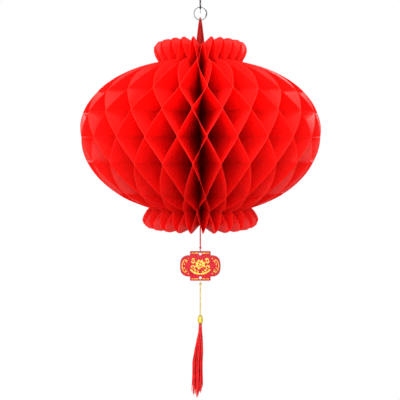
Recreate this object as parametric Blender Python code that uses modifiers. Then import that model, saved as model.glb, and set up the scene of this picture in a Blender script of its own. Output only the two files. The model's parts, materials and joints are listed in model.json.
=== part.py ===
"""Honeycomb hanging lantern: a booklet of die-cut plastic-paper leaves between two
stiff covers, opened through a full turn about its spine and held shut by a split ring.
A card tag and a tassel hang below. Metres, +Z up. The origin is where the hook's upper
bend rests on whatever carries it. The front is -Y, and the seam between the covers is
at the back, +Y. Azimuths run from the front towards +X."""

import math

import bmesh
import bpy
from mathutils import Matrix

MM = 0.001

# ---- Driving dimensions, in millimetres -------------------------------------------
SHEETS = 48                 # two covers and the leaves between them
BODY_RADIUS = 130.0         # at the widest level
WIDEST_Z = 5.7              # above the middle glue row
UPPER_HALF = 78.1           # superellipse half heights, above and below the widest level
LOWER_HALF = 88.4
SQUARENESS = 2.28           # 2 is an ellipse
GAP = 0.3                   # between neighbouring pieces

LEAF_THICK = 0.08
LEAF_INNER = 10.0           # leaves start this far from the axis
COVER_THICK = 0.5
COVER_INNER = 3.8
SEAM_GAP = 0.15             # from the plane through the axis to a cover's outer face
CORE_RADIUS = 3.2

NECK_TOP = (45.8, 80.5)     # radius and height where body and upper frill meet
NECK_LOW = (56.6, -76.6)
FRILL_TOP = [(46.8, 84.0), (49.2, 88.0), (50.8, 93.0), (50.4, 98.0), (47.6, 101.6), (42.0, 103.0)]
FRILL_LOW = [(60.0, -80.6), (62.8, -85.6), (64.0, -90.0), (62.6, -94.2), (58.6, -97.2), (52.0, -98.6)]
NECK_ROUND_TOP = 1.6        # height left between a neck and the belly's own outline
NECK_ROUND_LOW = 2.0
BELLY_STEPS = 22
TOP_INNER_Z = 100.0         # height of a leaf's upper edge at the spine
LOW_INNER_Z = -96.0

RING_RADIUS = 6.9           # centreline
RING_WIRE = 0.5             # radii of the wires and cords
HOOK_WIRE = 0.9
HOOK_LOW_BEND = 4.0
HOOK_TOP_BEND = 6.0
HOOK_REACH = 24.0           # between the two bends' centres
HOOK_END_TURN = 282         # degrees that each end is wound to, from the top of its bend

EAR_REACH = 6.6             # from the axis to the hole in an ear: the lantern's balance line
EAR_HOLE = 1.6
EAR_INNER = 3.0
RING_LOW_Z = 129.5          # the ring's lowest centreline point, from the middle glue row
EAR_TIP_Z = 133.2
EAR_SLOPE = [(40.0, 0.0), (25.0, 9.0), (15.0, 19.0)]    # radius, and height above the ear's foot
EAR_SHOULDER = 3.9                                      # half width of the ear beside its hole
EAR_TIP_HALF = 1.1
EAR_LIP = [(3.3, 2.0), (2.7, 2.5)]                      # the slotted ear, from its hole's centre
EAR_FINGER = [(-0.1, 2.3), (0.8, 3.5)]
EAR_PLAIN = [(2.2, 3.4)]
EAR_INNER_TOP = (-1.9, 2.6)

CORE_CHAMFER = (0.4, 0.6)
CORD_RADIUS = 0.75
SPINE_KNOT_LONG = 1.2
SPINE_KNOT = [(1.1, 0.0), (1.4, -0.5), (1.1, -SPINE_KNOT_LONG)]
TAG_WIDTH = 45.0
TAG_HEIGHT = 33.2
TAG_MIDDLE = 23.0           # width of the tag's full-height middle panel
TAG_LOBE = 24.0             # height of its side lobes
TAG_THICK = 0.8
TAG_TOP_Z = -125.6
TAG_HOLE = 1.6
TAG_HOLE_INSET = 3.1
LOOP_WIRE = 0.45
LOOP_RADIUS = 2.9
LOOP_SET_IN = 0.8           # how far a thread loop hangs past the middle of a tag hole
TAG_CORNER = 1.0
BEAD_RADIUS = 3.0
BEAD_TOP_Z = -197.8
BEAD_LONG = 8.0
BEAD_SHOULDERS = [(1.5, BEAD_LONG / 2), (2.5, 3.0), (BEAD_RADIUS, 1.2)]
TASSEL_TOP_Z = -206.2
TASSEL_LONG = 83.0
BINDING_LONG = 2.1
BINDING = [(1.7, 0.0), (2.1, -0.5), (2.1, -1.6), (1.7, -BINDING_LONG)]
SKIRT_NECK = [(1.6, 0.0), (2.2, -1.5)]      # from the skirt's own top
SKIRT = [(2.5, -9.0), (3.4, -18.0), (5.0, -32.0), (6.2, -45.0), (6.6, -60.0), (6.3, -72.0),
         (4.5, -TASSEL_LONG)]               # from the top of the binding

# ---- Places that follow -----------------------------------------------------------
EAR_HOLE_Z = RING_LOW_Z + RING_WIRE + GAP - EAR_HOLE
RING_Z = RING_LOW_Z + RING_RADIUS
HOOK_LOW_Z = RING_Z + RING_RADIUS - RING_WIRE - HOOK_WIRE - GAP
HOOK_TOP_CENTRE = HOOK_LOW_Z + HOOK_LOW_BEND + HOOK_REACH
LIFT = HOOK_TOP_CENTRE + HOOK_TOP_BEND - HOOK_WIRE   # height of the origin above the middle row
CORE_LOW_Z = LOW_INNER_Z + 8.0      # the cord leaves the spine inside the lower frill
RED_CORD_TOP_Z = CORE_LOW_Z - GAP - SPINE_KNOT_LONG - GAP
TAG_LOOP_Z = TAG_TOP_Z - TAG_HOLE_INSET + LOOP_SET_IN + LOOP_RADIUS
RED_CORD_LOW_Z = TAG_LOOP_Z + LOOP_RADIUS + LOOP_WIRE + GAP
TAG_LOW_HOLE_Z = TAG_TOP_Z - TAG_HEIGHT + TAG_HOLE_INSET
GOLD_LOOP_Z = TAG_LOW_HOLE_Z - LOOP_SET_IN - LOOP_RADIUS


def sheet_azimuth(i):
    """Azimuth of sheet i in degrees, 0 facing the front. The paper stands closer together
    at the front and the back than at the sides, as an opened booklet does."""
    turn = math.radians((i - (SHEETS - 1) / 2) * 360 / SHEETS)
    shift = (-5.0 * math.sin(2 * turn) - 0.9 * math.sin(turn)
             + 2.9 * (1 + math.cos(turn)) / 2)
    return math.degrees(turn) + shift


def body_radius(z):
    """Outline of the lantern's belly at height z."""
    half = UPPER_HALF if z > WIDEST_Z else LOWER_HALF
    share = min(abs(z - WIDEST_Z) / half, 1.0)
    return BODY_RADIUS * (1 - share ** 2) ** (1 / SQUARENESS)


def sheet_outline(inner):
    """Half profile of a sheet as (radius, height), anticlockwise from its lower inner corner."""
    points = [(inner, LOW_INNER_Z)]
    points += reversed(FRILL_LOW)
    points.append(NECK_LOW)
    low, high = NECK_LOW[1] + NECK_ROUND_LOW, NECK_TOP[1] - NECK_ROUND_TOP
    for k in range(BELLY_STEPS + 1):
        swing = math.pi * (k / BELLY_STEPS - 0.5)
        z = (low + high) / 2 + (high - low) / 2 * math.sin(swing)
        points.append((body_radius(z), z))
    points.append(NECK_TOP)
    points += FRILL_TOP
    points.append((inner, TOP_INNER_Z))
    return points


# ---- Scene helpers ----------------------------------------------------------------
def clear_scene():
    for old in list(bpy.data.objects):
        bpy.data.objects.remove(old)


def collection(name):
    made = bpy.data.collections.new(name)
    bpy.context.scene.collection.children.link(made)
    return made


def material(name, colour, roughness, metallic=0.0):
    made = bpy.data.materials.new(name)
    made.use_nodes = True
    shader = made.node_tree.nodes["Principled BSDF"]
    shader.inputs["Base Color"].default_value = (*colour, 1.0)
    shader.inputs["Roughness"].default_value = roughness
    shader.inputs["Metallic"].default_value = metallic
    return made


def place(z, x=0.0, y=-EAR_REACH):
    """A point given from the middle of the lantern, as a world position in metres."""
    return (x * MM, y * MM, (z - LIFT) * MM)


def add(name, data, into, finish, location=(0, 0, 0), azimuth=0.0):
    made = bpy.data.objects.new(name, data)
    made.location = location
    made.rotation_euler = (0, 0, azimuth)
    data.materials.append(finish)
    into.objects.link(made)
    return made


def flat_sheet(name, outline, thick, offset=0.0, holes=()):
    """A flat plate in its own XZ plane, thick along Y and centred at Y = offset."""
    curve = bpy.data.curves.new(name, "CURVE")
    curve.dimensions = "2D"
    curve.fill_mode = "BOTH"
    curve.extrude = thick / 2 * MM
    for ring in [outline, *holes]:
        spline = curve.splines.new("POLY")
        spline.points.add(len(ring) - 1)
        for point, (u, v) in zip(spline.points, ring):
            point.co = (u * MM, v * MM, 0, 1)
        spline.use_cyclic_u = True
    source = bpy.data.objects.new(name + "_curve", curve)
    bpy.context.scene.collection.objects.link(source)
    evaluated = source.evaluated_get(bpy.context.evaluated_depsgraph_get())
    mesh = bpy.data.meshes.new_from_object(evaluated)
    bpy.data.objects.remove(source)
    shape = bmesh.new()
    shape.from_mesh(mesh)
    bmesh.ops.remove_doubles(shape, verts=shape.verts, dist=1e-6)
    upright = Matrix.Rotation(math.pi / 2, 3, "X")
    bmesh.ops.rotate(shape, verts=shape.verts, cent=(0, 0, 0), matrix=upright)
    bmesh.ops.translate(shape, verts=shape.verts, vec=(0, offset * MM, 0))
    bmesh.ops.recalc_face_normals(shape, faces=shape.faces)
    shape.to_mesh(mesh)
    shape.free()
    mesh.name = name
    return mesh


def circle(u, v, radius, sides=16):
    return [(u + radius * math.cos(2 * math.pi * k / sides),
             v + radius * math.sin(2 * math.pi * k / sides)) for k in range(sides)]


def wire(name, points, radius, resolution=2, cyclic=False):
    curve = bpy.data.curves.new(name, "CURVE")
    curve.dimensions = "3D"
    curve.bevel_depth = radius * MM
    curve.bevel_resolution = resolution
    curve.use_fill_caps = not cyclic
    spline = curve.splines.new("POLY")
    spline.points.add(len(points) - 1)
    for point, (x, y, z) in zip(spline.points, points):
        point.co = (x * MM, y * MM, z * MM, 1)
    spline.use_cyclic_u = cyclic
    return curve


def turned(name, profile, into, finish, z, sides=16):
    """A solid of revolution about Z from (radius, height) pairs, top to bottom."""
    mesh = bpy.data.meshes.new(name)
    shape = bmesh.new()
    verts = [shape.verts.new((r * MM, 0, h * MM)) for r, h in profile]
    for a, b in zip(verts, verts[1:]):
        shape.edges.new((a, b))
    shape.to_mesh(mesh)
    shape.free()
    made = add(name, mesh, into, finish, place(z))
    screw = made.modifiers.new("turn", "SCREW")
    screw.axis = "Z"
    screw.steps = sides
    screw.render_steps = sides
    screw.use_merge_vertices = True
    screw.merge_threshold = 0.00001
    return made


# ---- The lantern ------------------------------------------------------------------
def make_leaves(into, paper):
    """The paper leaves, each a flat half profile standing on its own azimuth."""
    mesh = flat_sheet("leaf", sheet_outline(LEAF_INNER), LEAF_THICK)
    mesh.materials.append(paper)
    for i in range(1, SHEETS - 1):
        leaf = bpy.data.objects.new(f"leaf_{i:02d}", mesh)
        leaf.location = place(0)
        leaf.rotation_euler = (0, 0, math.radians(sheet_azimuth(i) - 90))
        into.objects.link(leaf)


def ear_points(slotted):
    """The pointed ear on top of a cover, from its outer foot to its inner foot. The hole
    of a slotted ear is open along the way that the ring's wire leaves it."""
    foot = TOP_INNER_Z + 2.0
    outer = [(r, foot + rise) for r, rise in EAR_SLOPE] + [(EAR_REACH + EAR_SHOULDER, EAR_HOLE_Z)]
    side = EAR_PLAIN
    if slotted:
        turns = [math.radians(28 - 26 * k) for k in range(11)]
        bowl = [(EAR_HOLE * math.cos(a), EAR_HOLE * math.sin(a)) for a in turns]
        side = EAR_LIP + bowl + EAR_FINGER
    tip = (EAR_TIP_HALF, EAR_TIP_Z - EAR_HOLE_Z)
    inner_side = [EAR_INNER_TOP, (-EAR_REACH + EAR_INNER, 0.0)]
    top = [(EAR_REACH + u, EAR_HOLE_Z + v) for u, v in [*side, tip, *inner_side]]
    return outer + top + [(COVER_INNER, TOP_INNER_Z)]


def make_cover(name, i, side, slotted, into, card):
    """A stiff cover. Its outer face lies along the plane through the axis, and its
    thickness is on the leaves' side of it: side is +1 where azimuths grow away from it."""
    outline = sheet_outline(COVER_INNER)
    outline = outline[:-1] + ear_points(slotted)
    holes = () if slotted else [circle(EAR_REACH, EAR_HOLE_Z, EAR_HOLE)]
    mesh = flat_sheet(name, outline, COVER_THICK, side * (SEAM_GAP + COVER_THICK / 2), holes)
    add(name, mesh, into, card, place(0), math.radians(sheet_azimuth(i) - 90))


def make_spine(into, paper, thread):
    """The bound spine and the thread knot at its lower end."""
    high, low = TOP_INNER_Z - 2.0, CORE_LOW_Z
    inset, drop = CORE_CHAMFER
    profile = [(0, high), (CORE_RADIUS - inset, high), (CORE_RADIUS, high - drop),
               (CORE_RADIUS, low + drop), (CORE_RADIUS - inset, low), (0, low)]
    turned("spine_core", profile, into, paper, 0, 20)
    knot = [(0, 0), *SPINE_KNOT, (0, -SPINE_KNOT_LONG)]
    turned("spine_knot", knot, into, thread, CORE_LOW_Z - GAP, 12)


def make_ring(into, steel):
    points = [(RING_RADIUS * math.cos(2 * math.pi * k / 36), 0,
               RING_RADIUS * math.sin(2 * math.pi * k / 36)) for k in range(36)]
    curve = wire("split_ring", points, RING_WIRE, 2, cyclic=True)
    add("split_ring", curve, into, steel, place(RING_Z, y=0.0))


def make_hook(into, steel):
    """An S of steel wire in the YZ plane, with both bends on the hanging line."""
    lean = math.acos((HOOK_LOW_BEND + HOOK_TOP_BEND) / HOOK_REACH)
    end = math.radians(HOOK_END_TURN)
    sweep = end - lean
    steps = 18
    points = []
    for k in range(steps + 1):
        a = end - sweep * k / steps
        points.append((0, HOOK_LOW_BEND * math.sin(a), HOOK_LOW_BEND * math.cos(a)))
    for k in range(steps + 1):
        a = lean + sweep * k / steps
        points.append((0, -HOOK_TOP_BEND * math.sin(a), HOOK_REACH - HOOK_TOP_BEND * math.cos(a)))
    curve = wire("hanging_hook", points, HOOK_WIRE, 2)
    add("hanging_hook", curve, into, steel, place(HOOK_LOW_Z + HOOK_LOW_BEND, y=0.0))


# ---- What hangs below -------------------------------------------------------------
def straight_cord(name, top, bottom, into, thread, radius=CORD_RADIUS):
    count = max(2, round((top - bottom) / (radius * 5)))
    points = [(0, 0, -(top - bottom) * k / count) for k in range(count + 1)]
    add(name, wire(name, points, radius, 2), into, thread, place(top))


def thread_loop(name, z, into, thread):
    """A round loop of thread in the YZ plane."""
    points = [(0, LOOP_RADIUS * math.cos(2 * math.pi * k / 20),
               LOOP_RADIUS * math.sin(2 * math.pi * k / 20)) for k in range(20)]
    add(name, wire(name, points, LOOP_WIRE, 2, cyclic=True), into, thread, place(z))


def tag_outline():
    """A full-height middle panel with a rounded lobe on each side."""
    middle, high = TAG_MIDDLE / 2, TAG_HEIGHT / 2
    lobe = TAG_LOBE / 2
    reach = TAG_WIDTH / 2 - middle
    quarter = [(middle - TAG_CORNER, high), (middle, high - TAG_CORNER)]
    for k in range(9):
        a = math.pi / 2 * (1 - k / 8)
        quarter.append((middle + reach * math.cos(a) ** 0.8, lobe * math.sin(a) ** 0.7))
    right = quarter + [(u, -v) for u, v in reversed(quarter[:-1])]
    return right + [(-u, v) for u, v in reversed(right)]


def make_tag(into, card):
    hole = TAG_HEIGHT / 2 - TAG_HOLE_INSET
    mesh = flat_sheet("tag_card", tag_outline(), TAG_THICK, 0,
                      [circle(0, hole, TAG_HOLE), circle(0, -hole, TAG_HOLE)])
    add("tag_card", mesh, into, card, place(TAG_TOP_Z - TAG_HEIGHT / 2))


def make_tassel(into, thread, gold):
    """Bead, binding and skirt on the gold cord's line."""
    upper = [(0, BEAD_LONG / 2), *BEAD_SHOULDERS]
    turned("bead", upper + [(r, -h) for r, h in reversed(upper)], into, gold,
           BEAD_TOP_Z - BEAD_LONG / 2)
    turned("tassel_binding", [(0, 0), *BINDING, (0, -BINDING_LONG)], into, gold, TASSEL_TOP_Z)
    top = -BINDING_LONG - GAP
    neck = [(0, top)] + [(r, top + h) for r, h in SKIRT_NECK]
    turned("tassel_skirt", neck + SKIRT + [(0, -TASSEL_LONG)], into, thread, TASSEL_TOP_Z)


def build():
    clear_scene()
    parts = collection("honeycomb_lantern")
    paper = material("red_plastic_paper", (0.75, 0.01, 0.01), 0.35)
    card = material("red_card", (0.62, 0.01, 0.02), 0.4)
    steel = material("steel_wire", (0.55, 0.55, 0.56), 0.25, 1.0)
    red_thread = material("red_thread", (0.6, 0.02, 0.02), 0.7)
    gold_thread = material("gold_thread", (0.75, 0.55, 0.2), 0.5)
    yellow = material("yellow_plastic", (0.9, 0.65, 0.1), 0.3)
    make_hook(parts, steel)
    make_ring(parts, steel)
    make_cover("cover_left", 0, 1, False, parts, card)
    make_cover("cover_right", SHEETS - 1, -1, True, parts, card)
    make_leaves(parts, paper)
    make_spine(parts, paper, red_thread)
    thread_loop("tag_loop", TAG_LOOP_Z, parts, red_thread)
    straight_cord("red_cord", RED_CORD_TOP_Z, RED_CORD_LOW_Z, parts, red_thread)
    make_tag(parts, card)
    thread_loop("gold_loop", GOLD_LOOP_Z, parts, gold_thread)
    gold_top = GOLD_LOOP_Z - LOOP_RADIUS - LOOP_WIRE - GAP
    straight_cord("gold_cord", gold_top, BEAD_TOP_Z + GAP, parts, gold_thread)
    make_tassel(parts, red_thread, yellow)


build()
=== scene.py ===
"""Looks of the honeycomb hanging lantern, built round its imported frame. Lengths in the
tables below are millimetres from the middle glue row, on the lantern's own axis."""

import json
import math
import random

import bpy
import numpy as np
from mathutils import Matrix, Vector


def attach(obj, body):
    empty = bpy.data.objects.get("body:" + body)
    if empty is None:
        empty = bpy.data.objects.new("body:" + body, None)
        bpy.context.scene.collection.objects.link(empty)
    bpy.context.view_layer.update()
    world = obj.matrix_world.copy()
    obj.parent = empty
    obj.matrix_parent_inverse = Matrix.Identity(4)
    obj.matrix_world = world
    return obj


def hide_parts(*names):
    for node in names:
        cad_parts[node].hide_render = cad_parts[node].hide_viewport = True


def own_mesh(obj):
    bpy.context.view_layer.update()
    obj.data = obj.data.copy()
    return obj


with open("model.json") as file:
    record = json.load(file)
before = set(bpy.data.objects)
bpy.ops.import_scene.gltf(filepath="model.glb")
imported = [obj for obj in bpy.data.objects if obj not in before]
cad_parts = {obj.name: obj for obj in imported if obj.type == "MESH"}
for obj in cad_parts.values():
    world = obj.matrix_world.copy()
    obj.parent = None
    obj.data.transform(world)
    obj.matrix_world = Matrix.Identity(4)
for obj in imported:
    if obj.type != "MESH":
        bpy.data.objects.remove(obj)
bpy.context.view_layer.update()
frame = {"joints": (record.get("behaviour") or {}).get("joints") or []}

MM = 0.001
FOLD = next(j for j in frame["joints"] if j["name"] == "fold")
AXIS_Y, MIDDLE_Z = FOLD["pos_m"][1] / MM, FOLD["pos_m"][2] / MM

# ---- Camera ------------------------------------------------------------------------
CAMERA_AWAY = 650.0         # from the lantern's axis
CAMERA_HEIGHT = -7.0        # from the middle glue row
CAMERA_PITCH = 0.050        # radians, looking down
LENS, SENSOR = 53.14, 36.0
SHIFT = (-0.0008, -0.066)

# ---- The booklet's outline, as in the CAD part ---------------------------------------
SHEETS = 48
BODY_RADIUS, WIDEST_Z, UPPER_HALF, LOWER_HALF, SQUARENESS = 130.0, 5.7, 78.1, 88.4, 2.28
NECK_TOP, NECK_LOW = (45.8, 80.5), (56.6, -76.6)
FRILL_TOP = [(46.8, 84.0), (49.2, 88.0), (50.8, 93.0), (50.4, 98.0), (47.6, 101.6), (42.0, 103.0)]
FRILL_LOW = [(60.0, -80.6), (62.8, -85.6), (64.0, -90.0), (62.6, -94.2), (58.6, -97.2),
             (52.0, -98.6)]
BELLY_LOW_Z, BELLY_TOP_Z = -74.6, 78.9
TOP_INNER_Z, LOW_INNER_Z = 100.0, -96.0
COVER_FACE = 0.65           # from the seam plane to a cover's face on the leaves' side
CORE_RADIUS, CORE_TOP_Z, CORE_LOW_Z = 3.2, 98.0, -88.0

# ---- Glue rows: height, and whether an odd sheet meets the next one there --------------
ROWS = [(-98.6, True), (-75.8, False), (-58.4, True), (-25.3, False), (0.0, True),
        (25.0, False), (45.8, True), (77.0, False), (103.0, True)]
STRIP = 0.8                 # half height of a glue strip
LEAF_START, END_LEAF_START = 3.5, 9.0       # from the axis; the two leaves beside the covers
HALF_FILM = 0.09
HALF_GAP = 0.13             # between the middles of two glued leaves, halved
EASE = 0.06                 # how far the paper rounds off between two rows
EDGE_BAND = 0.24            # width of the cut edge band painted lighter, a painted highlight
EDGE_LINES = 3              # grid lines in that band
COLUMNS = 11                # grid lines between the spine and that band
BODY_END = 1.6              # where the last of them stands, in widths of the band
LEVEL_STEP, LEAST_STEP = 3.0, 0.45          # between grid levels: wanted, and at least
LEAST_PARTS = 4             # that the height between two glue rows is cut into
FRONT_PAIR = (23, 24)       # their upper frill tip stands lower than the others
FRONT_TIP_SHARE = 0.74      # of the upper frill's height


def place(x, y, z):
    """A point given from the lantern's axis and middle row, in metres."""
    return (x * MM, (y + AXIS_Y) * MM, (z + MIDDLE_Z) * MM)


def sheet_azimuth(i):
    """Azimuth of sheet i in degrees, as in the CAD part."""
    turn = math.radians((i - (SHEETS - 1) / 2) * 360 / SHEETS)
    shift = (-5.0 * math.sin(2 * turn) - 0.9 * math.sin(turn)
             + 2.9 * (1 + math.cos(turn)) / 2)
    return math.degrees(turn) + shift


def outline_radius(z):
    """Outer radius of a sheet at height z."""
    if BELLY_LOW_Z <= z <= BELLY_TOP_Z:
        half = UPPER_HALF if z > WIDEST_Z else LOWER_HALF
        share = abs(z - WIDEST_Z) / half
        return BODY_RADIUS * (1 - share ** 2) ** (1 / SQUARENESS)
    if z > 0:
        key = [(outline_radius(BELLY_TOP_Z), BELLY_TOP_Z), NECK_TOP, *FRILL_TOP]
    else:
        key = [(outline_radius(BELLY_LOW_Z), BELLY_LOW_Z), NECK_LOW, *FRILL_LOW][::-1]
    return float(np.interp(z, [h for _, h in key], [r for r, _ in key]))


# ---- Mesh helpers --------------------------------------------------------------------
def mesh_object(name, verts, faces, material, smooth_angle=None):
    """A mesh object from points in metres. Edges sharper than smooth_angle degrees stay sharp."""
    mesh = bpy.data.meshes.new(name)
    mesh.from_pydata([tuple(map(float, v)) for v in verts], [], faces)
    mesh.update()
    mesh.shade_smooth()
    if smooth_angle is not None:
        mesh.set_sharp_from_angle(angle=math.radians(smooth_angle))
    made = bpy.data.objects.new(name, mesh)
    bpy.context.scene.collection.objects.link(made)
    mesh.materials.append(material)
    return made


def solid(name, material, *shapes, smooth_angle=40):
    """One object from closed shapes, each given as its points in millimetres and its faces."""
    points, faces = [], []
    for verts, sides in shapes:
        base = len(points)
        points += [place(*v) for v in verts]
        faces += [tuple(base + k for k in side) for side in sides]
    return mesh_object(name, points, faces, material, smooth_angle)


OFF_AXIS = (0.31, 0.95, 0.07)    # a direction that no tube runs in


def tube(points, radius, sides=10, ply=0, turns_per_mm=0.0, depth=0.25, closed=False,
         radii=None):
    """A tube round points, as its points and faces. With ply it is a rope of that many
    twisted strands, grooved by depth. radii is a share of the radius at each point."""
    path = np.array(points, float)
    count = len(path)
    nxt, prv = np.roll(path, -1, 0), np.roll(path, 1, 0)
    if not closed:
        nxt[-1], prv[0] = path[-1], path[0]
    tangent = nxt - prv
    tangent /= np.linalg.norm(tangent, axis=1)[:, None]
    first = np.cross(tangent[0], OFF_AXIS)
    side = first / np.linalg.norm(first)
    across = []
    for t in tangent:
        side = side - t * side.dot(t)
        side /= np.linalg.norm(side)
        across.append(side)
    step = np.linalg.norm(np.diff(path, axis=0), axis=1)
    along = np.concatenate([[0], np.cumsum(step)])
    angles = np.arange(sides) * 2 * np.pi / sides
    verts = []
    for k in range(count):
        u, t = across[k], tangent[k]
        v = np.cross(t, u)
        r = radius * (1 if radii is None else radii[k]) * np.ones(sides)
        if ply:
            lobe = np.abs(np.cos(ply / 2 * (angles - 2 * np.pi * turns_per_mm * along[k])))
            r = r * (1 - depth * (1 - lobe))
        verts += list(path[k] + np.cos(angles)[:, None] * u * r[:, None]
                      + np.sin(angles)[:, None] * v * r[:, None])
    faces = []
    for k in range(count if closed else count - 1):
        a, b = k * sides, (k + 1) % count * sides
        faces += [(a + j, a + (j + 1) % sides, b + (j + 1) % sides, b + j) for j in range(sides)]
    if not closed:
        faces.append(tuple(range(sides))[::-1])
        faces.append(tuple((count - 1) * sides + j for j in range(sides)))
    return verts, faces


def lathe(profile, sides=32, flutes=0, flute_depth=0.0):
    """A solid of revolution from (radius, height) pairs, top to bottom."""
    verts, faces = [], []
    for r, h in profile:
        for j in range(sides):
            a = 2 * math.pi * j / sides
            wave = 1 - flute_depth * (1 - abs(math.cos(flutes / 2 * a))) if flutes else 1
            verts.append((r * wave * math.cos(a), r * wave * math.sin(a), h))
    rings = len(profile)
    for k in range(rings - 1):
        a, b = k * sides, (k + 1) * sides
        faces += [(a + j, b + j, b + (j + 1) % sides, a + (j + 1) % sides) for j in range(sides)]
    faces.append(tuple(range(sides)))
    faces.append(tuple((rings - 1) * sides + j for j in range(sides))[::-1])
    return verts, faces


def raised(made, rise):
    verts, faces = made
    return [(x, y, z + rise) for x, y, z in verts], faces


def smooth_path(points, count):
    """count points along a Catmull-Rom curve through points."""
    key = [np.array(p, float) for p in points]
    key = [2 * key[0] - key[1], *key, 2 * key[-1] - key[-2]]
    spans = len(key) - 3
    made = []
    for n in range(count):
        s = n / (count - 1) * spans
        k = min(int(s), spans - 1)
        t = s - k
        p0, p1, p2, p3 = key[k:k + 4]
        made.append(0.5 * (2 * p1 + (p2 - p0) * t + (2 * p0 - 5 * p1 + 4 * p2 - p3) * t * t
                           + (3 * p1 - p0 - 3 * p2 + p3) * t ** 3))
    return made


# ---- Materials -----------------------------------------------------------------------
class Paint:
    """Builds one node material."""

    def __init__(self, name):
        self.material = bpy.data.materials.new(name)
        self.material.use_nodes = True
        self.tree = self.material.node_tree
        self.tree.nodes.clear()

    def node(self, kind, **values):
        made = self.tree.nodes.new("ShaderNode" + kind)
        for key, value in values.items():
            if hasattr(made, key):
                setattr(made, key, value)
            else:
                made.inputs[key.replace("_", " ")].default_value = value
        return made

    def link(self, a, b):
        self.tree.links.new(a, b)

    def coordinates(self, scale=(1, 1, 1)):
        source = self.node("TexCoord")
        mapping = self.node("Mapping")
        mapping.inputs["Scale"].default_value = scale
        self.link(source.outputs["Object"], mapping.inputs["Vector"])
        return mapping.outputs[0]

    def noise(self, vector, scale, detail=3.0):
        made = self.node("TexNoise", Scale=scale, Detail=detail)
        self.link(vector, made.inputs["Vector"])
        return made.outputs["Fac"]

    def ramp(self, value, stops):
        made = self.node("ValToRGB")
        elements = made.color_ramp.elements
        while len(elements) < len(stops):
            elements.new(0.5)
        for element, (at, colour) in zip(elements, stops):
            element.position = at
            element.color = (*colour, 1)
        self.link(value, made.inputs[0])
        return made.outputs[0]

    def mix_colour(self, factor, a, b):
        made = self.node("Mix", data_type="RGBA")
        for socket, value in zip((made.inputs[0], made.inputs[6], made.inputs[7]), (factor, a, b)):
            if isinstance(value, bpy.types.NodeSocket):
                self.link(value, socket)
            else:
                socket.default_value = value if isinstance(value, float) else (*value, 1)
        return made.outputs[2]

    def math(self, operation, a, b=0.0):
        made = self.node("Math", operation=operation)
        for socket, value in zip(made.inputs, (a, b)):
            if isinstance(value, bpy.types.NodeSocket):
                self.link(value, socket)
            else:
                socket.default_value = value
        return made.outputs[0]

    def bump(self, height, strength, distance, below=None):
        made = self.node("Bump", Strength=strength, Distance=distance)
        self.link(height, made.inputs["Height"])
        if below is not None:
            self.link(below, made.inputs["Normal"])
        return made.outputs[0]

    def surface(self, colour, roughness, normal=None, **values):
        made = self.node("BsdfPrincipled", **values)
        for name, value in (("Base Color", colour), ("Roughness", roughness), ("Normal", normal)):
            if isinstance(value, bpy.types.NodeSocket):
                self.link(value, made.inputs[name])
            elif value is not None:
                made.inputs[name].default_value = value if isinstance(value, float) else (*value, 1)
        return made.outputs[0]

    def mix_shader(self, factor, a, b):
        made = self.node("MixShader")
        if isinstance(factor, float):
            made.inputs[0].default_value = factor
        else:
            self.link(factor, made.inputs[0])
        self.link(a, made.inputs[1])
        self.link(b, made.inputs[2])
        return made.outputs[0]

    def finish(self, shader):
        output = self.node("OutputMaterial")
        self.link(shader, output.inputs["Surface"])
        return self.material


def paper_paint():
    """Thin red plastic paper: a matt body that lets half of the light through, under a thin
    gloss film. A band along the cut edge is painted paler as a painted highlight, with no gloss."""
    p = Paint("plastic_paper")
    where = p.coordinates()
    cloud = p.noise(where, 38.0, 2.0)
    red = p.ramp(cloud, [(0.3, (0.94, 0.0125, 0.010)), (0.7, (0.98, 0.0170, 0.014))])
    edge = p.node("Attribute", attribute_name="cut_edge_highlight").outputs["Fac"]
    # painted highlight: the band along the cut edge is painted a paler red
    colour = p.mix_colour(edge, red, (1.0, 0.060, 0.044))
    wrinkle = p.bump(p.noise(where, 26.0, 1.0), 0.10, 0.002)
    grain = p.bump(p.noise(where, 900.0, 2.0), 0.02, 0.0002, wrinkle)
    rough = p.math("ADD", p.math("MULTIPLY", p.noise(where, 60.0), 0.08), 0.23)
    body = p.surface(colour, 0.6, grain, Specular_IOR_Level=0.0)
    through = p.node("BsdfTranslucent")
    # the same painted highlight makes the light through the cut edge band paler
    p.link(p.mix_colour(edge, (0.96, 0.007, 0.004), (1.0, 0.012, 0.008)), through.inputs["Color"])
    film = p.node("BsdfGlossy", Color=(1.0, 0.86, 0.84, 1.0))
    p.link(rough, film.inputs["Roughness"])
    p.link(grain, film.inputs["Normal"])
    share = p.math("MULTIPLY", p.math("SUBTRACT", 1.0, edge), 0.060)
    return p.finish(p.mix_shader(share, p.mix_shader(0.5, body, through.outputs[0]),
                                 film.outputs[0]))


def card_paint():
    """Matt red-faced card with darker cut edges, for the two covers and their ears."""
    p = Paint("cover_card")
    where = p.coordinates()
    normal = p.node("TexCoord").outputs["Normal"]
    split = p.node("SeparateXYZ")
    p.link(normal, split.inputs[0])
    face = p.math("GREATER_THAN", p.math("ABSOLUTE", split.outputs[0]), 0.75)
    cloud = p.noise(where, 45.0)
    red = p.ramp(cloud, [(0.3, (0.38, 0.009, 0.007)), (0.7, (0.52, 0.015, 0.011))])
    fibre = p.noise(p.coordinates((1, 1, 12)), 220.0, 4.0)
    cut = p.ramp(fibre, [(0.3, (0.11, 0.005, 0.004)), (0.7, (0.19, 0.011, 0.009))])
    colour = p.mix_colour(face, cut, red)
    bump = p.bump(p.noise(where, 700.0, 3.0), 0.12, 0.0004)
    return p.finish(p.surface(colour, 0.6, bump, Specular_IOR_Level=0.0))


def spine_paint():
    """The glued edges of the leaves, with fibres along them."""
    p = Paint("spine_paper")
    fibre = p.noise(p.coordinates((1, 1, 0.15)), 500.0, 3.0)
    colour = p.ramp(fibre, [(0.3, (0.42, 0.004, 0.003)), (0.7, (0.72, 0.010, 0.006))])
    return p.finish(p.surface(colour, 0.5, p.bump(fibre, 0.2, 0.0004)))


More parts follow.
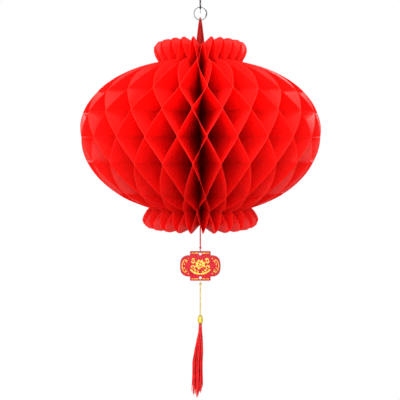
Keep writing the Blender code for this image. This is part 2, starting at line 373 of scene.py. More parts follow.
def steel_paint():
    """Dark drawn wire with fine scratches and a few brighter patches."""
    p = Paint("steel_wire")
    fine = p.noise(p.coordinates((1, 1, 0.2)), 1500.0, 4.0)
    patch = p.noise(p.coordinates(), 160.0, 2.0)
    colour = p.ramp(patch, [(0.3, (0.05, 0.05, 0.05)), (0.7, (0.18, 0.18, 0.185))])
    rough = p.math("ADD", p.math("MULTIPLY", fine, 0.22), 0.16)
    return p.finish(p.surface(colour, rough, p.bump(fine, 0.15, 0.0002), Metallic=1.0))


def thread_paint(name, dark, light, roughness, sheen):
    """Twisted yarn: its fibres show as fine streaks."""
    p = Paint(name)
    streak = p.noise(p.coordinates((1, 1, 0.22)), 1600.0, 4.0)
    patch = p.noise(p.coordinates(), 130.0, 2.0)
    mixed = p.math("ADD", p.math("MULTIPLY", streak, 0.6), p.math("MULTIPLY", patch, 0.4))
    colour = p.ramp(mixed, [(0.36, dark), (0.62, light)])
    return p.finish(p.surface(colour, roughness, p.bump(streak, 0.3, 0.0003),
                              Sheen_Weight=sheen, Specular_IOR_Level=0.25))


def tag_paint():
    """Printed and lacquered card: crimson faces with a slightly cloudy ink."""
    p = Paint("tag_card")
    where = p.coordinates()
    cloud = p.noise(where, 150.0, 3.0)
    colour = p.ramp(cloud, [(0.3, (0.43, 0.006, 0.015)), (0.7, (0.53, 0.010, 0.025))])
    fine = p.noise(where, 2600.0, 3.0)
    return p.finish(p.surface(colour, 0.3, p.bump(fine, 0.08, 0.0002),
                              Coat_Weight=0.1, Coat_Roughness=0.15, Specular_IOR_Level=0.1))


def rim_paint():
    """The tag's darker border and cut edge."""
    p = Paint("tag_rim")
    colour = p.ramp(p.noise(p.coordinates(), 240.0, 3.0),
                    [(0.3, (0.26, 0.004, 0.006)), (0.7, (0.34, 0.007, 0.009))])
    grain = p.bump(p.noise(p.coordinates(), 1500.0), 0.1, 0.0002)
    return p.finish(p.surface(colour, 0.35, grain))


def foil_paint():
    """Stamped gold foil, a little uneven, with painted shade in its creases: darker where its bump
    is low.
    """
    p = Paint("gold_foil")
    where = p.coordinates()
    cloud = p.noise(where, 420.0, 4.0)
    # painted shade: the noise that bumps the foil also darkens its low creases
    colour = p.ramp(cloud, [(0.28, (0.38, 0.15, 0.012)), (0.5, (0.68, 0.43, 0.045)),
                            (0.72, (0.88, 0.66, 0.13))])
    return p.finish(p.surface(colour, 0.34, p.bump(cloud, 0.35, 0.0004), Metallic=0.35,
                              Specular_IOR_Level=0.5))


def bead_paint():
    """Moulded yellow plastic with soft flow marks."""
    p = Paint("bead_plastic")
    flow = p.noise(p.coordinates((1, 1, 0.35)), 420.0, 3.0)
    colour = p.ramp(flow, [(0.3, (0.56, 0.38, 0.014)), (0.7, (0.68, 0.53, 0.050))])
    return p.finish(p.surface(colour, 0.28, p.bump(flow, 0.15, 0.0003), Coat_Weight=0.3,
                              Subsurface_Weight=0.15, Subsurface_Scale=0.002))


PAPER, CARD, SPINE, STEEL = paper_paint(), card_paint(), spine_paint(), steel_paint()
RED_THREAD = thread_paint("red_thread", (0.36, 0.005, 0.006), (0.66, 0.011, 0.012), 0.6, 0.0)
GOLD_THREAD = thread_paint("gold_thread", (0.46, 0.33, 0.080), (0.66, 0.52, 0.17), 0.5, 0.0)
YARN = thread_paint("tassel_yarn", (0.40, 0.003, 0.004), (0.80, 0.014, 0.014), 0.34, 0.0)
BINDING = thread_paint("tassel_binding", (0.16, 0.02, 0.006), (0.45, 0.09, 0.012), 0.6, 0.2)
TAG, RIM, FOIL, BEAD = tag_paint(), rim_paint(), foil_paint(), bead_paint()


def settle(made, body, *replaced, slot=None):
    """Rides body and stands for the CAD nodes in replaced, which it hides. slot is not used."""
    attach(made, body)
    if replaced:
        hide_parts(*replaced)
    return made


# ---- Camera --------------------------------------------------------------------------
lens = bpy.data.cameras.new("camera")
lens.lens, lens.sensor_width = LENS, SENSOR
lens.shift_x, lens.shift_y = SHIFT
camera = bpy.data.objects.new("camera", lens)
camera.location = place(0, -CAMERA_AWAY, CAMERA_HEIGHT)
camera.rotation_euler = (math.pi / 2 - CAMERA_PITCH, 0, 0)
bpy.context.scene.collection.objects.link(camera)
bpy.context.scene.camera = camera

# ---- Cords: where they run, in the CAD part's own numbers ------------------------------
RED_CORD_Z = (-89.8, -121.35)
GOLD_CORD_Z = (-163.05, -197.5)
CORD_DIAMETER = 1.5
CORD_STEPS = 90


def hanging_cord(name, ends, material, body, slot):
    """A rope of three strands that hangs straight between two heights on the axis."""
    top, low = ends
    path = [(0, 0, top + (low - top) * k / CORD_STEPS) for k in range(CORD_STEPS + 1)]
    rope = tube(path, CORD_DIAMETER / 2, sides=15, ply=3, turns_per_mm=0.30, depth=0.08)
    cord = settle(solid(name + "_rope", material, rope, smooth_angle=60), body, name, slot=slot)


hanging_cord("red_cord", RED_CORD_Z, RED_THREAD, "cord", "red_thread")
hanging_cord("gold_cord", GOLD_CORD_Z, GOLD_THREAD, "tassel", "gold_thread")

# ---- Leaves --------------------------------------------------------------------------
draw = random.Random(7)
NODE_JITTER = 0.35          # degrees
jitter = {(row, low): draw.uniform(-NODE_JITTER, NODE_JITTER)
          for row in range(len(ROWS)) for low in range(SHEETS)}


def node(i, row):
    """Where leaf i is glued on a row: its azimuth in degrees, and how far it stands
    sideways of that plane, in millimetres."""
    odd_meets_next = ROWS[row][1]
    low = i if (i % 2 == 1) == odd_meets_next else i - 1
    other = i + 1 if low == i else i - 1
    if other == 0:
        return sheet_azimuth(0), COVER_FACE + HALF_GAP
    if other == SHEETS - 1:
        return sheet_azimuth(other), -COVER_FACE - HALF_GAP
    middle = (sheet_azimuth(i) + sheet_azimuth(other)) / 2 + jitter[row, low]
    return middle, (-HALF_GAP if low == i else HALF_GAP)


def leaf_levels():
    """Heights of the leaf's grid lines, with the glue strips' edges and outline corners."""
    levels = {NECK_TOP[1], NECK_LOW[1], BELLY_TOP_Z, BELLY_LOW_Z}
    levels |= {h for _, h in FRILL_TOP + FRILL_LOW}
    for (low, _), (high, _) in zip(ROWS, ROWS[1:]):
        levels |= {low, low + STRIP, high - STRIP, high}
        inner = max(LEAST_PARTS, round((high - low) / LEVEL_STEP))
        levels |= {low + STRIP + (high - low - 2 * STRIP) * k / inner for k in range(1, inner)}
    kept = []
    for z in sorted(levels):
        if not kept or z - kept[-1] > LEAST_STEP:
            kept.append(z)
    kept[-1] = ROWS[-1][0]
    return kept


LEVELS = leaf_levels()


def inner_height(z):
    """Where a level line meets the spine: the frills' edges slope a little inwards."""
    low, high = ROWS[1][0], ROWS[-2][0]
    if z > high:
        return high + (z - high) * (TOP_INNER_Z - high) / (ROWS[-1][0] - high)
    if z < low:
        return low + (z - low) * (LOW_INNER_Z - low) / (ROWS[0][0] - low)
    return z


def stand(i, z):
    """Azimuth and sideways offset of leaf i at height z, between its glue rows."""
    row = max(k for k in range(len(ROWS) - 1) if ROWS[k][0] <= z + 1e-9)
    (a0, w0), (a1, w1) = node(i, row), node(i, row + 1)
    low, high = ROWS[row][0] + STRIP, ROWS[row + 1][0] - STRIP
    t = min(max((z - low) / (high - low), 0.0), 1.0)
    t = (1 - EASE) * t + EASE * t * t * (3 - 2 * t)
    return math.radians(a0 + (a1 - a0) * t), w0 + (w1 - w0) * t


def leaf_points(i):
    """The grid points of both faces of leaf i, level by level from the spine outwards, and
    whether each is on the cut edge."""
    faces, edge = ([], []), []
    start = END_LEAF_START if i in (1, SHEETS - 2) else LEAF_START
    dip = 1 - FRONT_TIP_SHARE if i in FRONT_PAIR else 0.0
    for z in LEVELS:
        a, w = stand(i, z)
        outer = outline_radius(z)
        body = outer - BODY_END * EDGE_BAND
        radii = [start + (body - start) * k / (COLUMNS - 1) for k in range(COLUMNS)]
        radii += [outer - EDGE_BAND, outer - EDGE_BAND / 2, outer]
        for k, r in enumerate(radii):
            share = (r - start) / (outer - start)
            top = inner_height(z) + (z - inner_height(z)) * share
            height = top - dip * max(top - ROWS[-2][0], 0.0) * share
            for points, side in zip(faces, (-HALF_FILM, HALF_FILM)):
                s = w + side
                points.append((r * math.sin(a) + s * math.cos(a),
                               -r * math.cos(a) + s * math.sin(a), height))
            edge.append(1.0 if k >= COLUMNS else 0.0)
    return faces[0] + faces[1], edge + edge


def leaf_faces():
    """The quads of a leaf's two faces and of the rim between them."""
    wide, tall = COLUMNS + EDGE_LINES, len(LEVELS)
    base = wide * tall
    faces = []
    for v in range(tall - 1):
        for u in range(wide - 1):
            a, b, c, d = v * wide + u, v * wide + u + 1, (v + 1) * wide + u + 1, (v + 1) * wide + u
            faces.append((a, b, c, d))
            faces.append((base + d, base + c, base + b, base + a))
    rim = (list(range(wide)) + [v * wide + wide - 1 for v in range(1, tall)]
           + [(tall - 1) * wide + u for u in range(wide - 2, -1, -1)]
           + [v * wide for v in range(tall - 2, 0, -1)])
    for a, b in zip(rim, rim[1:] + rim[:1]):
        faces.append((b, a, base + a, base + b))
    return faces


def make_leaf(i):
    """A paper leaf that zig-zags between its glue rows."""
    points, edge = leaf_points(i)
    leaf = mesh_object(f"paper_{i:02d}", [place(*p) for p in points], leaf_faces(), PAPER,
                       smooth_angle=9)
    # marks the cut edge band that the paper paints with a highlight
    attribute = leaf.data.attributes.new("cut_edge_highlight", "FLOAT", "POINT")
    attribute.data.foreach_set("value", np.array(edge, np.float32))
    settle(leaf, f"leaf_{i:02d}", f"leaf_{i:02d}", slot="leaf_paper")
    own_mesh(leaf)


for number in range(1, SHEETS - 1):
    make_leaf(number)

# ---- Spine -----------------------------------------------------------------------------
CORE_END_RADIUS, CORE_CHAMFER, CORE_RINGS = 2.4, 0.5, 12
core_long = CORE_LOW_Z - CORE_TOP_Z + 2 * CORE_CHAMFER
core = lathe([(CORE_END_RADIUS, CORE_TOP_Z), (CORE_RADIUS, CORE_TOP_Z - CORE_CHAMFER),
              *[(CORE_RADIUS, CORE_TOP_Z - CORE_CHAMFER + core_long * k / CORE_RINGS)
                for k in range(1, CORE_RINGS)],
              (CORE_RADIUS, CORE_LOW_Z + CORE_CHAMFER), (CORE_END_RADIUS, CORE_LOW_Z)],
             sides=4 * SHEETS, flutes=SHEETS, flute_depth=0.09)
settle(solid("fluted_spine", SPINE, core), "spine", "spine_core", slot="spine_paper")


LOOP_STEPS = 72             # in a knot, and in a loop of thread


def knot(z, size, wire, flat):
    """A small tight knot on the axis: a rope wound as a trefoil. flat scales its height."""
    points = []
    for k in range(LOOP_STEPS):
        t = 2 * math.pi * k / LOOP_STEPS
        reach = size * (0.62 + 0.30 * math.cos(3 * t))
        points.append((reach * math.cos(2 * t), reach * math.sin(2 * t),
                       z + flat * size * 0.42 * math.sin(3 * t)))
    return tube(points, wire, 8, closed=True)


SPINE_KNOT_Z = CORE_LOW_Z - 0.9
spine_tie = knot(SPINE_KNOT_Z, size=0.95, wire=0.38, flat=0.6)
settle(solid("spine_tie", RED_THREAD, spine_tie), "spine", "spine_knot", slot="red_thread")

# ---- Hook and ring -----------------------------------------------------------------------
HOOK_LOW_BEND, HOOK_TOP_BEND, HOOK_REACH, HOOK_WIRE = 4.0, 6.0, 24.0, 0.9
HOOK_END_TURN = 282         # degrees that each end is wound to, from the top of its bend
HOOK_LOW_CENTRE_Z = 145.6
HOOK_STEPS, HOOK_STRAIGHT_STEPS = 44, 6     # in each bend, and between the bends
TAIL_TOP_Z, TAIL_LOW_Z, TAIL_WIRE, TAIL_STEPS = 141.9, 136.0, 0.35, 8
RING_RADIUS, RING_Z, RING_WIRE = 6.9, 136.4, 0.45
RING_OVERLAP = 64           # degrees over which the ring's two ends lie side by side
RING_BESIDE, RING_OUTWARD = 0.35, 0.30      # how far each end stands off the middle
RING_STEPS = 96
HANG_Y = -AXIS_Y            # the hanging line, from the lantern's axis


def hook_points():
    """An S of wire on the hanging line, from the end of its lower bend to that of its upper."""
    lean = math.acos((HOOK_LOW_BEND + HOOK_TOP_BEND) / HOOK_REACH)
    end = math.radians(HOOK_END_TURN)
    sweep = end - lean
    turns = [end - sweep * k / HOOK_STEPS for k in range(HOOK_STEPS + 1)]
    low = [(HOOK_LOW_BEND * math.sin(a), HOOK_LOW_BEND * math.cos(a)) for a in turns]
    top = [(-HOOK_TOP_BEND * math.sin(a), HOOK_REACH - HOOK_TOP_BEND * math.cos(a))
           for a in reversed(turns)]
    (y0, z0), (y1, z1) = low[-1], top[0]
    middle = [(y0 + (y1 - y0) * k / HOOK_STRAIGHT_STEPS, z0 + (z1 - z0) * k / HOOK_STRAIGHT_STEPS)
              for k in range(1, HOOK_STRAIGHT_STEPS)]
    return [(0, HANG_Y + y, HOOK_LOW_CENTRE_Z + z) for y, z in low + middle + top]


def ring_points():
    """A turn of wire and a bit more, so that its two ends lie side by side."""
    points = []
    for k in range(RING_STEPS + 1):
        share = k / RING_STEPS
        turn = math.radians(-RING_OVERLAP / 2 + (360 + RING_OVERLAP) * share)
        lead = math.tanh(5 * (share - 0.5))
        reach = RING_RADIUS + RING_OUTWARD * lead
        points.append((reach * math.cos(turn), HANG_Y + RING_BESIDE * lead,
                       RING_Z + reach * math.sin(turn)))
    return points


route = hook_points()
rounding = [0.45, 0.85] + [1.0] * (len(route) - 4) + [0.85, 0.45]
settle(solid("steel_hook", STEEL, tube(route, HOOK_WIRE, 16, radii=rounding)), "hook",
       "hanging_hook", slot="steel_wire")

tail_path = [(0.0, HANG_Y, TAIL_TOP_Z + (TAIL_LOW_Z - TAIL_TOP_Z) * k / TAIL_STEPS)
             for k in range(TAIL_STEPS + 1)]
tail = tube(tail_path, TAIL_WIRE, 10, radii=[1.0] * (TAIL_STEPS - 1) + [0.85, 0.5])
settle(solid("hook_wire_tail", STEEL, tail), "hook")

settle(solid("wire_ring", STEEL, tube(ring_points(), RING_WIRE, 12)), "ring", "split_ring",
       slot="steel_wire")

# ---- Tag ---------------------------------------------------------------------------------
TAG_TOP_Z, TAG_HEIGHT, TAG_WIDTH, TAG_MIDDLE, TAG_LOBE = -125.6, 33.2, 45.0, 23.0, 24.0
TAG_THICK, TAG_HOLE, TAG_HOLE_INSET, TAG_CORNER = 0.8, 1.6, 3.1, 1.0
PRINT_SHARE = 0.955         # of the tag's outline, inside its darker border
PRINT_THICK, PRINT_OFF, PRINT_CLEAR = 0.10, 0.02, 0.35      # clear of the holes
FOIL_THICK, FOIL_OFF = 0.30, 0.17
TAG_BEVEL, PRINT_BEVEL, FOIL_BEVEL = 0.14, 0.02, 0.10
TAG_Z = TAG_TOP_Z - TAG_HEIGHT / 2
TAG_HOLE_UP = TAG_HEIGHT / 2 - TAG_HOLE_INSET


def tag_outline():
    """A full-height middle panel with a rounded lobe on each side."""
    middle, high, lobe = TAG_MIDDLE / 2, TAG_HEIGHT / 2, TAG_LOBE / 2
    reach = TAG_WIDTH / 2 - middle
    quarter = [(middle - TAG_CORNER * (1 - math.sin(b)), high - TAG_CORNER * (1 - math.cos(b)))
               for b in [math.pi / 2 * k / 4 for k in range(5)]]
    for k in range(17):
        a = math.pi / 2 * (1 - k / 16)
        quarter.append((middle + reach * math.cos(a) ** 0.8, lobe * math.sin(a) ** 0.7))
    right = quarter + [(u, -v) for u, v in reversed(quarter[:-1])]
    return right + [(-u, v) for u, v in reversed(right)]


def circle(u, v, radius, sides=28):
    return [(u + radius * math.cos(2 * math.pi * k / sides),
             v + radius * math.sin(2 * math.pi * k / sides)) for k in range(sides)]


def plate(name, outlines, thick, y, material, bevel, z=TAG_Z):
    """Flat shapes in the XZ plane, filled by the even-odd rule, with rounded rims."""
    curve = bpy.data.curves.new(name, "CURVE")
    curve.dimensions, curve.fill_mode = "2D", "BOTH"
    curve.extrude = (thick / 2 - bevel) * MM
    curve.bevel_depth, curve.bevel_resolution, curve.offset = bevel * MM, 2, -bevel * MM
    for outline in outlines:
        spline = curve.splines.new("POLY")
        spline.points.add(len(outline) - 1)
        for point, (u, v) in zip(spline.points, outline):
            point.co = (u * MM, v * MM, 0, 1)
        spline.use_cyclic_u = True
    source = bpy.data.objects.new(name + "_curve", curve)
    bpy.context.scene.collection.objects.link(source)
    mesh = bpy.data.meshes.new_from_object(
        source.evaluated_get(bpy.context.evaluated_depsgraph_get()))
    bpy.data.objects.remove(source)
    verts = [place(v.co.x / MM, y - v.co.z / MM, z + v.co.y / MM) for v in mesh.vertices]
    faces = [tuple(f.vertices) for f in mesh.polygons]
    bpy.data.meshes.remove(mesh)
    return mesh_object(name, verts, faces, material, smooth_angle=35)


def stroke(points, width):
    """A closed outline round an open line, with rounded ends."""
    line = [np.array(p, float) for p in points]
    left, right = [], []
    for k, p in enumerate(line):
        d = line[min(k + 1, len(line) - 1)] - line[max(k - 1, 0)]
        d /= np.linalg.norm(d)
        n = np.array([-d[1], d[0]]) * width / 2
        left.append(tuple(p + n))
        right.append(tuple(p - n))
    first, last = line[0], line[-1]
    d0 = (line[1] - first) / np.linalg.norm(line[1] - first)
    d1 = (last - line[-2]) / np.linalg.norm(last - line[-2])
    return left + [tuple(last + d1 * width / 2)] + right[::-1] + [tuple(first - d0 * width / 2)]


def arc(u, v, radius, start, end, steps=14, grow=0.0):
    """An arc, or a spiral that grows by grow, as a list of points. Angles in degrees."""
    points = []
    for k in range(steps + 1):
        turn = math.radians(start + (end - start) * k / steps)
        reach = radius + grow * k / steps
        points.append((u + reach * math.cos(turn), v + reach * math.sin(turn)))
    return points


PETAL_STEPS = 7             # along each side


def petal(angle, near, far, width, u=0.0, v=0.0):
    """A pointed petal outline between two radii."""
    a = math.radians(angle)
    out, across = np.array([math.cos(a), math.sin(a)]), np.array([-math.sin(a), math.cos(a)])
    points = []
    for side in (1, -1):
        for k in range(PETAL_STEPS):
            t = k / PETAL_STEPS if side == 1 else 1 - k / PETAL_STEPS
            swell = math.sin(math.pi * t ** 0.8) * width / 2
            points.append(tuple(np.array([u, v]) + out * (near + (far - near) * t)
                                + across * side * swell))
    return points


def half_ornament():
    """The scrolls, leaves and dashes to the right of the blossom."""
    shapes = [stroke(arc(8.5, -1.2, 1.15, -60, 250, 16, 1.2), 1.25),
              stroke(arc(8.3, 5.1, 0.95, 60, -230, 14, 1.1), 1.15),
              petal(150, 0.4, 3.4, 1.7, 9.8, 7.0),
              petal(20, 0.4, 3.0, 1.6, 4.8, 7.2),
              stroke([(0.9, -8.9), (3.2, -8.5), (6.0, -7.6), (8.6, -6.0), (10.6, -4.2)], 1.9),
              petal(-115, 0.2, 3.4, 1.9, 6.2, -3.4),
              petal(-95, 0.2, 2.9, 1.9, 2.8, -4.9)]
    for step in range(5):
        for v in (14.4, -14.4):
            shapes.append(stroke([(2.6 + 1.5 * step, v), (3.4 + 1.5 * step, v)], 0.95))
    border = [(13.6 + 6.6 * math.cos(math.radians(b)) ** 0.9, 8.3 * math.sin(math.radians(b)))
              for b in range(-64, 65, 8)]
    shapes.append(stroke(border, 0.8))
    for up in (-1, 1):
        curl = [(u, up * v) for u, v in arc(15.3, 5.6, 0.5, 200, -90, 12, 0.9)]
        shapes.append(stroke(curl, 0.7))
        shapes.append(circle(13.3, up * 8.6, 0.62, 12))
        shapes.append(petal(up * 62, 0.2, 2.3, 1.1, 17.2, up * 1.2))
    return shapes


def ornament():
    """Generic flower-and-scroll decoration: outlines of the gold foil on one face."""
    shapes = []
    blossom = (0.0, 1.6)
    for k in range(8):
        shapes.append(petal(22.5 + 45 * k, 1.9, 6.3, 3.6, *blossom))
    shapes.append(circle(*blossom, 1.45, 20))
    for side in (-1, 1):
        shapes += [[(side * u, v) for u, v in shape] for shape in half_ornament()]
    return shapes


def tag_holes(radius):
    return [circle(0, TAG_HOLE_UP, radius), circle(0, -TAG_HOLE_UP, radius)]


tag = plate("printed_tag", [tag_outline(), *tag_holes(TAG_HOLE)], TAG_THICK, 0.0, RIM,
            TAG_BEVEL)
settle(tag, "tag", "tag_card", slot="tag_card")
printed = [(u * PRINT_SHARE, v * PRINT_SHARE) for u, v in tag_outline()]
for face, side in (("front", -1), ("back", 1)):
    skin = plate(f"tag_print_{face}", [printed, *tag_holes(TAG_HOLE + PRINT_CLEAR)], PRINT_THICK,
                 side * (TAG_THICK / 2 + PRINT_OFF), TAG, PRINT_BEVEL)
    settle(skin, "tag")
    foil = plate(f"tag_foil_{face}", ornament(), FOIL_THICK, side * (TAG_THICK / 2 + FOIL_OFF),
                 FOIL, FOIL_BEVEL)
    settle(foil, "tag")

# ---- Covers ------------------------------------------------------------------------------
COVER_THICK, COVER_INNER, COVER_SEAM, COVER_BEVEL = 0.5, 3.8, 0.15, 0.06
EAR_REACH, EAR_HOLE, EAR_INNER, EAR_HOLE_Z, EAR_TIP_Z = 6.6, 1.6, 3.0, 128.7, 132.3
EAR_SLOPE = [(40.0, 102.0), (25.0, 111.0), (15.0, 121.0), (EAR_REACH + 3.9, EAR_HOLE_Z)]
EAR_LIP, EAR_FINGER = [(3.3, 2.0), (2.7, 2.5)], [(-0.1, 2.2), (0.8, 3.0)]
EAR_SPREAD = [(84.0, 0.0), (90.0, 0.7), (96.0, 1.9), (101.0, 2.8), (112.6, 2.2), (119.0, 1.6),
              (125.6, 0.9), (129.0, 0.4), (132.3, 0.0)]
EAR_MEET_Z = (96.0, 98.5)   # from here up the two ears meet at their front edges
EAR_MEET_SHARE = 0.96       # of the gap that the seam leaves there
FINE_FROM_Z, FINE_STEP = 80.0, 1.6          # the outline has closer points in the ear


def ear_spread(r, z):
    """How far an ear stands off the seam plane at radius r: a pair opens towards the back."""
    widths, heights = zip(*EAR_SLOPE)
    reach = float(np.interp(z, heights, widths))
    share = min(max((r - COVER_INNER) / (reach - COVER_INNER), 0.0), 1.0)
    from_seam = math.radians(180 - sheet_azimuth(SHEETS - 1))
    gap = EAR_MEET_SHARE * COVER_SEAM + r * math.sin(from_seam)
    meet = float(np.interp(z, EAR_MEET_Z, (0.0, 1.0))) * gap * (1 - share)
    return float(np.interp(z, *zip(*EAR_SPREAD))) * share - meet


def cover_outline(slotted):
    """A sheet's outline with the pointed ear on top, as in the CAD part."""
    points = [(COVER_INNER, LOW_INNER_Z), *FRILL_LOW[::-1], NECK_LOW]
    points += [(outline_radius(z), z) for z in LEVELS if BELLY_LOW_Z <= z <= BELLY_TOP_Z]
    points += [NECK_TOP, *FRILL_TOP, *EAR_SLOPE]
    tip = [(1.1, EAR_TIP_Z - EAR_HOLE_Z)]
    if slotted:
        bowl = [(EAR_HOLE * math.cos(a), EAR_HOLE * math.sin(a))
                for a in [math.radians(28 - 13 * k) for k in range(21)]]
        tip = EAR_LIP + bowl + EAR_FINGER + tip
    else:
        tip = [(2.2, 2.8)] + tip
    points += [(EAR_REACH + u, EAR_HOLE_Z + v)
               for u, v in tip + [(-1.9, 2.6), (EAR_INNER - EAR_REACH, 0.0)]]
    points.append((COVER_INNER, TOP_INNER_Z))
    dense = []
    for (u0, v0), (u1, v1) in zip(points, points[1:] + points[:1]):
        long = math.hypot(u1 - u0, v1 - v0)
        pieces = max(1, math.ceil(long / FINE_STEP)) if max(v0, v1) > FINE_FROM_Z else 1
        dense += [(u0 + (u1 - u0) * k / pieces, v0 + (v1 - v0) * k / pieces)
                  for k in range(pieces)]
    return dense


def make_cover(name, i, side, slotted, body):
    """A stiff cover on sheet i's azimuth. side is +1 where azimuths grow away from the seam."""
    holes = [] if slotted else [circle(EAR_REACH, EAR_HOLE_Z, EAR_HOLE)]
    flat = plate(name + "_flat", [cover_outline(slotted), *holes], COVER_THICK, 0.0, CARD,
                 COVER_BEVEL, z=0)
    a = math.radians(sheet_azimuth(i))
    points = []
    for v in flat.data.vertices:
        r, z = v.co.x / MM, v.co.z / MM - MIDDLE_Z
        off = side * (COVER_SEAM + COVER_THICK / 2 + ear_spread(r, z)) + v.co.y / MM - AXIS_Y
        points.append(place(r * math.sin(a) + off * math.cos(a),
                            -r * math.cos(a) + off * math.sin(a), z))
    faces = [tuple(f.vertices) for f in flat.data.polygons]
    bpy.data.objects.remove(flat)
    cover = mesh_object(name + "_card", points, faces, CARD, smooth_angle=35)
    settle(cover, body, name, slot="cover_card")


make_cover("cover_left", 0, 1, False, "spine")
make_cover("cover_right", SHEETS - 1, -1, True, "cover_right")

# ---- Thread loops and knots ------------------------------------------------------------
LOOP_RADIUS, LOOP_WIRE = 2.9, 0.45
TAG_LOOP_Z, GOLD_LOOP_Z = -125.0, -159.4
KNOT_OFF = 0.1              # a knot's middle, beyond its loop's wire


def thread_loop(z):
    """A round loop of thread in the YZ plane, through a hole of the tag."""
    points = [(0, LOOP_RADIUS * math.cos(2 * math.pi * k / LOOP_STEPS),
               z + LOOP_RADIUS * math.sin(2 * math.pi * k / LOOP_STEPS))
              for k in range(LOOP_STEPS)]
    return tube(points, LOOP_WIRE, 10, closed=True)


settle(solid("tag_thread_loop", RED_THREAD, thread_loop(TAG_LOOP_Z)), "tag", "tag_loop",
       slot="red_thread")
tag_knot = knot(TAG_LOOP_Z + LOOP_RADIUS + KNOT_OFF, size=1.15, wire=0.42, flat=0.9)
settle(solid("tag_thread_knot", RED_THREAD, tag_knot), "tag")
settle(solid("tassel_thread_loop", GOLD_THREAD, thread_loop(GOLD_LOOP_Z)), "tassel", "gold_loop",
       slot="gold_thread")
tassel_knot = knot(GOLD_LOOP_Z - LOOP_RADIUS - KNOT_OFF, size=1.3, wire=0.48, flat=0.9)
settle(solid("tassel_thread_knot", GOLD_THREAD, tassel_knot), "tassel")

# ---- Bead, binding and tassel ----------------------------------------------------------
BEAD_Z = -201.8
BEAD_PROFILE = [(0.75, 3.2), (0.8, 3.8), (1.0, 4.0), (1.35, 3.95), (1.85, 3.5), (2.3, 2.7),
                (2.65, 1.6), (2.88, 0.3), (3.0, -1.2), (3.05, -2.6), (3.0, -3.4), (2.8, -3.85),
                (2.4, -4.0), (1.6, -3.95), (1.5, -3.5)]
bead = solid("plastic_bead", BEAD, raised(lathe(BEAD_PROFILE, 40), BEAD_Z), smooth_angle=50)
settle(bead, "tassel", "bead", slot="bead")

BIND_TOP_Z, BIND_TURNS, BIND_REACH, BIND_WIRE = -206.45, 4, 1.65, 0.28
BIND_LONG, BIND_STEPS = 1.65, 120
BIND_CORE = [(1.3, 0), (1.5, -0.2), (1.5, -1.9), (1.3, -2.1)]       # inside the winding
BIND_CORE_UP = 0.25         # its top, above the winding's start
winding = [2 * math.pi * BIND_TURNS * k / BIND_STEPS for k in range(BIND_STEPS + 1)]
wrap = [(BIND_REACH * math.cos(a), BIND_REACH * math.sin(a),
         BIND_TOP_Z - BIND_LONG * k / BIND_STEPS) for k, a in enumerate(winding)]
binding = solid("wound_binding", BINDING, tube(wrap, BIND_WIRE, 8),
                raised(lathe(BIND_CORE, 24), BIND_TOP_Z + BIND_CORE_UP))
settle(binding, "tassel", "tassel_binding", slot="tassel_binding")

YARN_COUNT, YARN_WIRE = 46, 0.56
YARN_TOP_Z, YARN_LOW_Z = -208.0, -289.0
YARN_KEYS, YARN_STEPS = 10, 40              # points that a yarn is shaped by, and along it
WIDTHS = [(0.0, 1.25), (0.07, 1.4), (0.135, 2.2), (0.28, 4.0), (0.39, 4.9), (0.53, 5.8),
          (0.80, 6.0), (1.0, 5.8)]          # the tassel's half width, by share of its length
LEANS = [(0.0, 0.0), (0.135, -0.1), (0.28, -1.4), (0.39, -2.0), (0.53, -3.1), (1.0, -3.6)]
SHORTER, LONGER = (0.865, 0.97), (0.94, 1.0)        # the yarns' lengths
SHORTER_SHARE = 0.75
GOLDEN_TURN = 0.618034      # spreads the yarns evenly over the tassel's section


def yarn_points(k, pick):
    """The route of yarn k, from the binding down, with its own length, drift and waves."""
    turn = 2 * math.pi * (k * GOLDEN_TURN + pick.uniform(-0.04, 0.04))
    share = math.sqrt((k + 0.5) / YARN_COUNT)
    length = pick.uniform(*SHORTER) if pick.random() < SHORTER_SHARE else pick.uniform(*LONGER)
    phase, sway, drift = pick.uniform(0, 6.28), pick.uniform(0.15, 0.6), pick.uniform(-0.5, 0.5)
    key = []
    for n in range(YARN_KEYS):
        s = n / (YARN_KEYS - 1) * length
        reach = share * float(np.interp(s, *zip(*WIDTHS)))
        a = turn + drift * s + 0.25 * math.sin(phase + 3 * s)
        wave = sway * s * math.sin(phase + 9 * s)
        x = reach * math.cos(a) + wave + float(np.interp(s, *zip(*LEANS)))
        y = reach * math.sin(a) + sway * s * math.cos(phase + 7 * s)
        key.append((x, y, YARN_TOP_Z + (YARN_LOW_Z - YARN_TOP_Z) * s))
    return smooth_path(key, YARN_STEPS)


def make_tassel():
    pick = random.Random(21)
    thinning = [1.0] * (YARN_STEPS - 3) + [0.92, 0.8, 0.6]
    yarns = [tube(yarn_points(k, pick), YARN_WIRE, 8, ply=2, turns_per_mm=0.16, depth=0.18,
                  radii=thinning) for k in range(YARN_COUNT)]
    settle(solid("tassel_yarns", YARN, *yarns, smooth_angle=60), "tassel", "tassel_skirt",
           slot="tassel_yarn")


make_tassel()

# ---- Stage: a pale floor, and soft light ----------------------------------------------
FLOOR_Z, FLOOR_RADIUS, FLOOR_SIDES = -1750.0, 2600.0, 64
FLOOR_END = 0.9             # where its fade ends, as a share of the radius squared
AMBIENT = 0.5               # the world's light on things; the camera sees it white
LIGHTS = [("key", (-60, -600, 1250), (1.4, 0.45), 30.0),
          ("front", (-40, -1100, 120), (1.0, 1.0), 12.5),
          ("left", (-640, -640, 150), (0.5, 0.8), 3.8),
          ("right", (660, -600, 150), (0.5, 0.8), 2.0)]     # place, size in metres, watts


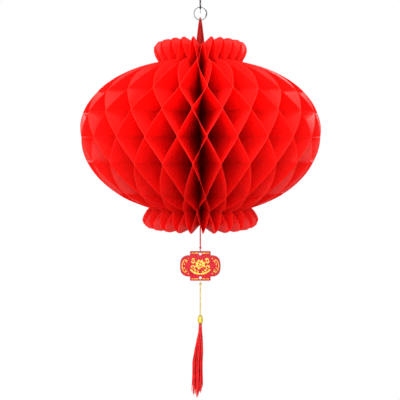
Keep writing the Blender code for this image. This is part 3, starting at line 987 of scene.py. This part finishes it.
def floor_paint():
    """Matt pale paper that fades out towards the floor's rim."""
    p = Paint("pale_floor")
    where = p.coordinates()
    shade = p.ramp(p.noise(where, 0.8), [(0.3, (0.86, 0.86, 0.86)), (0.7, (0.90, 0.90, 0.90))])
    split = p.node("SeparateXYZ")
    p.link(where, split.inputs[0])
    across, along = (p.math("POWER", p.math("DIVIDE", axis, FLOOR_RADIUS * MM), 2.0)
                     for axis in split.outputs[:2])
    fade = p.node("MapRange", interpolation_type="SMOOTHSTEP")
    fade.inputs["From Max"].default_value = FLOOR_END
    p.link(p.math("ADD", across, along), fade.inputs["Value"])
    matt = p.surface(shade, 0.9, None, Specular_IOR_Level=0.1)
    return p.finish(p.mix_shader(fade.outputs[0], matt, p.node("BsdfTransparent").outputs[0]))


rim = [(FLOOR_RADIUS * math.cos(2 * math.pi * k / FLOOR_SIDES),
        FLOOR_RADIUS * math.sin(2 * math.pi * k / FLOOR_SIDES), FLOOR_Z)
       for k in range(FLOOR_SIDES)]
floor = mesh_object("floor", [place(*p) for p in rim], [tuple(range(FLOOR_SIDES))], floor_paint())

world = bpy.data.worlds.new("studio")
bpy.context.scene.world = world
world.use_nodes = True
sky = world.node_tree.nodes["Background"]
sky.inputs["Color"].default_value = (1, 1, 1, 1)
ray = world.node_tree.nodes.new("ShaderNodeLightPath")
level = world.node_tree.nodes.new("ShaderNodeMapRange")
level.inputs["To Min"].default_value = AMBIENT
world.node_tree.links.new(ray.outputs["Is Camera Ray"], level.inputs["Value"])
world.node_tree.links.new(level.outputs[0], sky.inputs["Strength"])


def softbox(name, at, size, power):
    """A rectangular soft light aimed at the lantern's middle."""
    data = bpy.data.lights.new(name, "AREA")
    data.shape, data.size, data.size_y, data.energy = "RECTANGLE", size[0], size[1], power
    light = bpy.data.objects.new(name, data)
    light.location = place(*at)
    to = Vector(place(0, 0, 0)) - Vector(place(*at))
    light.rotation_euler = to.to_track_quat("-Z", "Y").to_euler()
    bpy.context.scene.collection.objects.link(light)


for light in LIGHTS:
    softbox(*light)

bpy.context.scene.view_settings.view_transform = "Standard"
